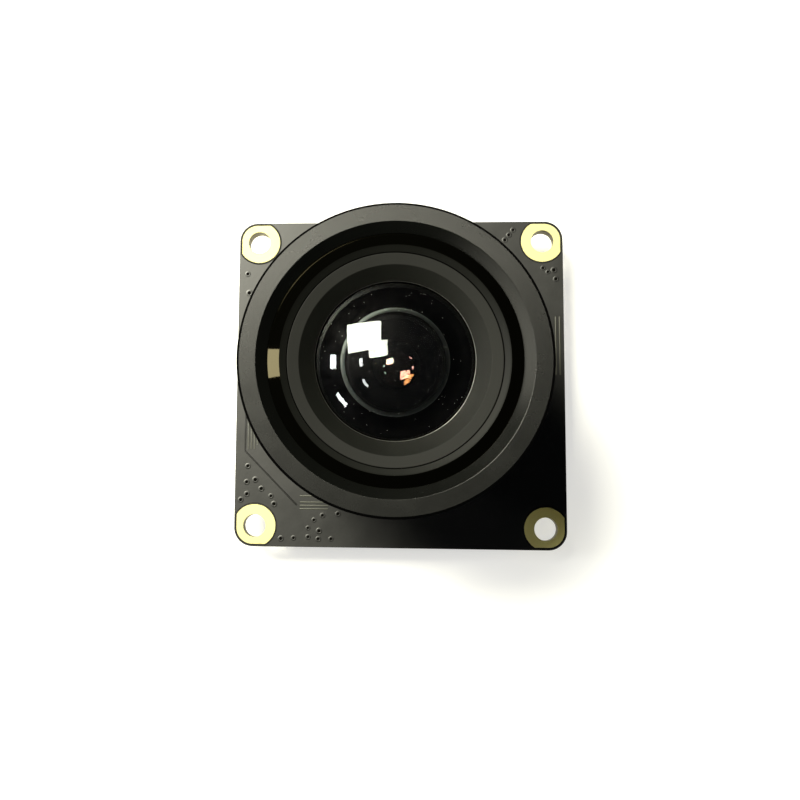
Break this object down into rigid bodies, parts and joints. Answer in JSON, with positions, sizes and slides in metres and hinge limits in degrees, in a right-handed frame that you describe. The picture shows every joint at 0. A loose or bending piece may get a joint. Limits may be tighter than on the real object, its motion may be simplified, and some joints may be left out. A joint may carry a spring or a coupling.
{
  "type": "board camera module",
  "caption": "Board camera module: a wide-angle screw-in lens with a broad black hood ring, in a holder on a square black circuit board with gold-ringed corner holes.",
  "frame": {"origin": "on the lens axis, at the plane on which the sockets and the inductor on the board's back rest", "axes": "+Z out of the lens along its axis; X and Y along the board's edges, with +Y up and +X to the right when the front is looked at"},
  "size_m": [0.032, 0.032, 0.0246],
  "materials": {
    "solder_mask": "glossy black solder mask over glass-fibre laminate",
    "gold_plating": "flat immersion gold over copper",
    "black_anodised": "turned aluminium, fine-blasted and black anodised",
    "holder_plastic": "moulded black glass-filled plastic",
    "screw_steel": "black zinc plated steel",
    "sensor_ceramic": "sintered alumina, unglazed",
    "silicon": "polished silicon",
    "optical_glass": "polished and coated glass",
    "filter_glass": "interference-coated glass",
    "chip_plastic": "moulded epoxy, fine spark texture",
    "tinned_lead": "tin plated copper alloy",
    "crystal_ceramic": "brown ceramic",
    "nickel_lid": "nickel plated lid, seam welded",
    "ferrite": "pressed iron powder",
    "tantalum_case": "moulded yellow epoxy",
    "capacitor_ceramic": "fired ceramic",
    "resistor_ceramic": "glass-coated film on ceramic",
    "socket_nylon": "moulded natural nylon"
  },
  "bodies": {
    "root": {"circuit_board": "solder_mask", "mounting_pads": "gold_plating", "image_sensor": "sensor_ceramic", "sensor_die": "silicon", "sensor_glass": "optical_glass", "infrared_filter": "filter_glass", "lens_holder": "holder_plastic", "holder_screws": "screw_steel", "lock_ring": "black_anodised", "lens_barrel": "black_anodised", "front_hood": "black_anodised", "retaining_ring": "black_anodised", "front_lens": "optical_glass", "second_lens": "optical_glass", "third_lens": "optical_glass", "flint_lens": "optical_glass", "crown_lens": "optical_glass", "spacer_ring": "black_anodised", "aperture_stop": "black_anodised", "rear_retainer": "black_anodised", "image_processor": "chip_plastic", "processor_leads": "tinned_lead", "flash_memory": "chip_plastic", "flash_leads": "tinned_lead", "voltage_regulators": "chip_plastic", "regulator_leads": "tinned_lead", "crystal_base": "crystal_ceramic", "crystal_lid": "nickel_lid", "power_inductor": "ferrite", "inductor_terminals": "tinned_lead", "tantalum_capacitors": "tantalum_case", "tantalum_terminals": "tinned_lead", "chip_capacitors": "capacitor_ceramic", "chip_resistors": "resistor_ceramic", "chip_terminals": "tinned_lead", "cable_socket": "socket_nylon", "cable_socket_pins": "tinned_lead", "audio_socket": "socket_nylon", "audio_socket_pins": "tinned_lead"}
  },
  "joints": []
}
